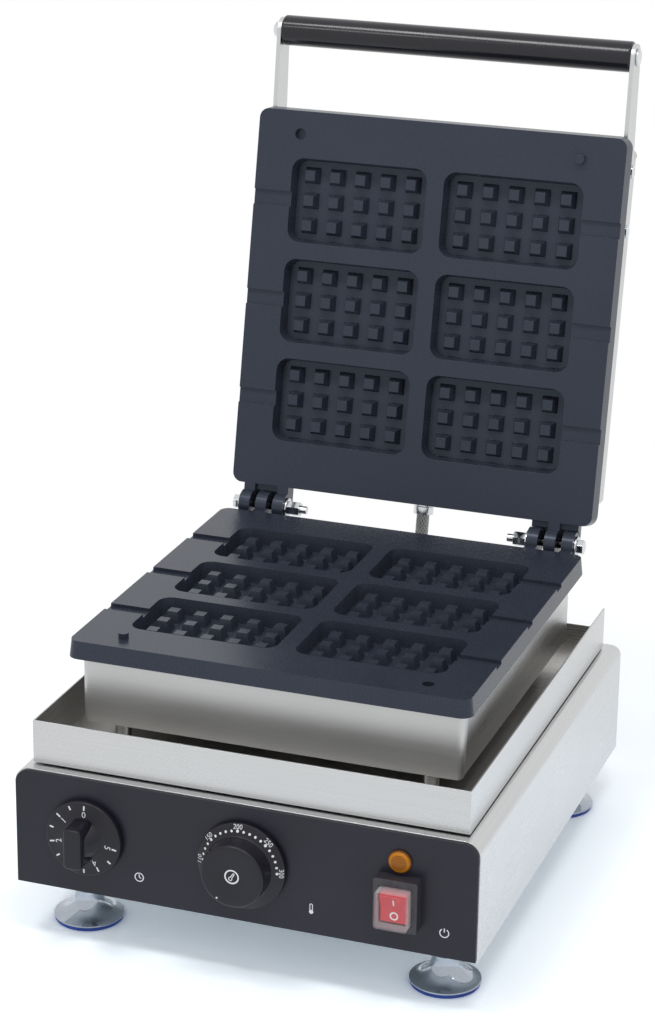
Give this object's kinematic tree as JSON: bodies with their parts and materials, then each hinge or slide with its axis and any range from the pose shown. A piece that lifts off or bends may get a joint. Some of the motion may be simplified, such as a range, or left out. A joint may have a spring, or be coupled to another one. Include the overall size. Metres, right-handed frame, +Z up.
{
  "type": "waffle stick iron",
  "caption": "Hinged electric waffle iron with cast pocket plates, a swing-back lid and handle, a drip tray, a control panel with timer and thermostat dials, and flared feet.",
  "frame": {"origin": "on the table under the middle of the object with its lid open", "axes": "+Z up, +X to the user's right, -Y towards the user and the control panel"},
  "size_m": [0.27, 0.4034, 0.4649],
  "materials": {
    "amber_lens": "amber lens",
    "black_gloss": "black gloss grip",
    "cast_plate": "dark non-stick coating on cast aluminium",
    "clear_cover": "clear flexible cover",
    "copper": "copper capillary and bulb",
    "fascia": "charcoal fascia with a satin face",
    "heater_tube": "heater sheath",
    "knob_black": "black knobs with white printing",
    "mechanism": "moulded mechanism case",
    "pad": "blue pads",
    "plated": "bright plating",
    "red_rocker": "red rocker",
    "sleeve": "braided lead sleeve",
    "stainless": "brushed stainless sheet",
    "zinc": "zinc-plated fasteners"
  },
  "bodies": {
    "base": {"base_shell": "stainless", "bottom_pan": "stainless", "panel_fascia": "fascia", "front_sheet": "stainless", "feet": "plated", "foot_pads": "pad", "foot_screws": "zinc", "foot_nuts": "zinc", "drip_tray": "stainless", "tray_spacers": "stainless", "housing_posts": "stainless", "wire_duct": "stainless", "tie_rods": "zinc", "tie_nuts": "zinc", "lower_plate": "cast_plate", "lower_heater": "heater_tube", "lower_clamp_bars": "stainless", "lower_clamp_screws": "zinc", "lower_housing": "stainless", "lower_gland": "plated", "hinge_bolts": "zinc", "hinge_nuts": "zinc", "hinge_washers": "zinc", "timer_body": "mechanism", "thermostat_body": "mechanism", "thermostat_capillary": "copper", "thermostat_bulb": "copper", "switch_body": "knob_black", "switch_cover": "clear_cover", "lamp_lens": "amber_lens", "lamp_barrel": "mechanism", "lamp_nut": "mechanism", "terminal_block": "mechanism", "mains_inlet": "mechanism", "lid_lead": "sleeve"},
    "lid": {"upper_plate": "cast_plate", "cover_rods": "zinc", "cover_nuts": "zinc", "upper_heater": "heater_tube", "upper_clamp_bars": "stainless", "upper_clamp_screws": "zinc", "upper_cover": "stainless", "upper_gland": "plated", "handle_arm_left": "stainless", "handle_arm_right": "stainless", "arm_screws": "zinc", "handle_rod": "zinc", "handle_grip": "black_gloss", "handle_cap_nuts": "plated"},
    "timer_dial": {"timer_knob": "knob_black", "timer_shaft": "zinc"},
    "thermostat_dial": {"thermostat_knob": "knob_black", "thermostat_shaft": "zinc"},
    "rocker": {"switch_rocker": "red_rocker"}
  },
  "joints": [
    {"name": "lid_hinge", "type": "hinge", "parent": "base", "child": "lid", "pos_m": [0, 0.0992, 0.1705], "axis": [1, 0, 0], "range_deg": [0, 101.5], "deforming": ["lid_lead"]},
    {"name": "timer_turn", "type": "hinge", "parent": "base", "child": "timer_dial", "pos_m": [-0.0916, -0.1814, 0.07], "axis": [0, 1, 0], "range_deg": [0, 250]},
    {"name": "thermostat_turn", "type": "hinge", "parent": "base", "child": "thermostat_dial", "pos_m": [0.0015, -0.1814, 0.07], "axis": [0, 1, 0], "range_deg": [-95, 115]},
    {"name": "rocker_tilt", "type": "hinge", "parent": "base", "child": "rocker", "pos_m": [0.091, -0.1844, 0.0647], "axis": [-1, 0, 0], "range_deg": [0, 20]}
  ]
}
